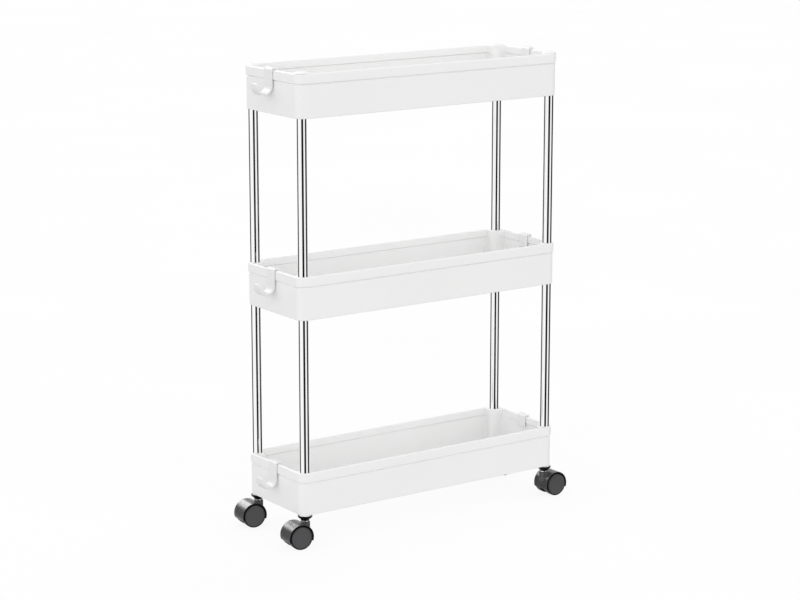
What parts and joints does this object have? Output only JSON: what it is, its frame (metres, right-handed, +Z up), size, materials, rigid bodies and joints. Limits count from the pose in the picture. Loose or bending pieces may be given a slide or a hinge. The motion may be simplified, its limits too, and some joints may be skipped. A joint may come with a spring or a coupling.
{
  "type": "rolling pantry cart",
  "caption": "Slim tiered rolling cart: white moulded trays on chrome tube posts, with a hook over each short end and black twin-wheel swivel casters.",
  "frame": {"origin": "on the floor, under the middle of the cart", "axes": "+X along the trays, +Y across them from the front long side to the back one, +Z up"},
  "size_m": [0.4498, 0.1462, 0.6019],
  "materials": {
    "white_plastic": "satin moulded",
    "chrome": "polished",
    "black_plastic": "satin moulded",
    "wheel_plastic": "satin moulded",
    "steel": "bright"
  },
  "bodies": {
    "root": {"tray_bottom": "white_plastic", "tray_middle": "white_plastic", "tray_top": "white_plastic", "tube_lower_front_left": "chrome", "tube_upper_front_left": "chrome", "cap_front_left": "white_plastic", "caster_socket_front_left": "black_plastic", "caster_stem_front_left": "steel", "tube_lower_back_left": "chrome", "tube_upper_back_left": "chrome", "cap_back_left": "white_plastic", "caster_socket_back_left": "black_plastic", "caster_stem_back_left": "steel", "tube_lower_front_right": "chrome", "tube_upper_front_right": "chrome", "cap_front_right": "white_plastic", "caster_socket_front_right": "black_plastic", "caster_stem_front_right": "steel", "tube_lower_back_right": "chrome", "tube_upper_back_right": "chrome", "cap_back_right": "white_plastic", "caster_socket_back_right": "black_plastic", "caster_stem_back_right": "steel"},
    "hook_bottom_left": {"hook_bottom_left": "white_plastic"},
    "hook_bottom_right": {"hook_bottom_right": "white_plastic"},
    "hook_middle_left": {"hook_middle_left": "white_plastic"},
    "hook_middle_right": {"hook_middle_right": "white_plastic"},
    "hook_top_left": {"hook_top_left": "white_plastic"},
    "hook_top_right": {"hook_top_right": "white_plastic"},
    "caster_front_left": {"caster_body_front_left": "black_plastic", "axle_front_left": "steel"},
    "wheel_front_left_front": {"wheel_front_left_front": "wheel_plastic"},
    "wheel_front_left_back": {"wheel_front_left_back": "wheel_plastic"},
    "caster_back_left": {"caster_body_back_left": "black_plastic", "axle_back_left": "steel"},
    "wheel_back_left_front": {"wheel_back_left_front": "wheel_plastic"},
    "wheel_back_left_back": {"wheel_back_left_back": "wheel_plastic"},
    "caster_front_right": {"caster_body_front_right": "black_plastic", "axle_front_right": "steel"},
    "wheel_front_right_front": {"wheel_front_right_front": "wheel_plastic"},
    "wheel_front_right_back": {"wheel_front_right_back": "wheel_plastic"},
    "caster_back_right": {"caster_body_back_right": "black_plastic", "axle_back_right": "steel"},
    "wheel_back_right_front": {"wheel_back_right_front": "wheel_plastic"},
    "wheel_back_right_back": {"wheel_back_right_back": "wheel_plastic"}
  },
  "joints": [
    {"name": "hook_bottom_left_lift", "type": "slide", "parent": "root", "child": "hook_bottom_left", "axis": [0, 0, 1], "range_m": [0, 0.03]},
    {"name": "hook_bottom_right_lift", "type": "slide", "parent": "root", "child": "hook_bottom_right", "axis": [0, 0, 1], "range_m": [0, 0.03]},
    {"name": "hook_middle_left_lift", "type": "slide", "parent": "root", "child": "hook_middle_left", "axis": [0, 0, 1], "range_m": [0, 0.03]},
    {"name": "hook_middle_right_lift", "type": "slide", "parent": "root", "child": "hook_middle_right", "axis": [0, 0, 1], "range_m": [0, 0.03]},
    {"name": "hook_top_left_lift", "type": "slide", "parent": "root", "child": "hook_top_left", "axis": [0, 0, 1], "range_m": [0, 0.03]},
    {"name": "hook_top_right_lift", "type": "slide", "parent": "root", "child": "hook_top_right", "axis": [0, 0, 1], "range_m": [0, 0.03]},
    {"name": "caster_front_left_swivel", "type": "hinge", "parent": "root", "child": "caster_front_left", "pos_m": [-0.192, -0.056, 0.03], "axis": [0, 0, 1], "continuous": true},
    {"name": "wheel_front_left_front_spin", "type": "hinge", "parent": "caster_front_left", "child": "wheel_front_left_front", "pos_m": [-0.20344, -0.0548, 0.0155], "axis": [0.1045, 0.9945, 0], "continuous": true},
    {"name": "wheel_front_left_back_spin", "type": "hinge", "parent": "caster_front_left", "child": "wheel_front_left_back", "pos_m": [-0.20344, -0.0548, 0.0155], "axis": [0.1045, 0.9945, 0], "continuous": true},
    {"name": "caster_back_left_swivel", "type": "hinge", "parent": "root", "child": "caster_back_left", "pos_m": [-0.192, 0.056, 0.03], "axis": [0, 0, 1], "continuous": true},
    {"name": "wheel_back_left_front_spin", "type": "hinge", "parent": "caster_back_left", "child": "wheel_back_left_front", "pos_m": [-0.20344, 0.0572, 0.0155], "axis": [0.1045, 0.9945, 0], "continuous": true},
    {"name": "wheel_back_left_back_spin", "type": "hinge", "parent": "caster_back_left", "child": "wheel_back_left_back", "pos_m": [-0.20344, 0.0572, 0.0155], "axis": [0.1045, 0.9945, 0], "continuous": true},
    {"name": "caster_front_right_swivel", "type": "hinge", "parent": "root", "child": "caster_front_right", "pos_m": [0.192, -0.056, 0.03], "axis": [0, 0, 1], "continuous": true},
    {"name": "wheel_front_right_front_spin", "type": "hinge", "parent": "caster_front_right", "child": "wheel_front_right_front", "pos_m": [0.2035, -0.056, 0.0155], "axis": [0, 1, 0], "continuous": true},
    {"name": "wheel_front_right_back_spin", "type": "hinge", "parent": "caster_front_right", "child": "wheel_front_right_back", "pos_m": [0.2035, -0.056, 0.0155], "axis": [0, 1, 0], "continuous": true},
    {"name": "caster_back_right_swivel", "type": "hinge", "parent": "root", "child": "caster_back_right", "pos_m": [0.192, 0.056, 0.03], "axis": [0, 0, 1], "continuous": true},
    {"name": "wheel_back_right_front_spin", "type": "hinge", "parent": "caster_back_right", "child": "wheel_back_right_front", "pos_m": [0.20325, 0.05839, 0.0155], "axis": [-0.2079, 0.9781, 0], "continuous": true},
    {"name": "wheel_back_right_back_spin", "type": "hinge", "parent": "caster_back_right", "child": "wheel_back_right_back", "pos_m": [0.20325, 0.05839, 0.0155], "axis": [-0.2079, 0.9781, 0], "continuous": true}
  ]
}
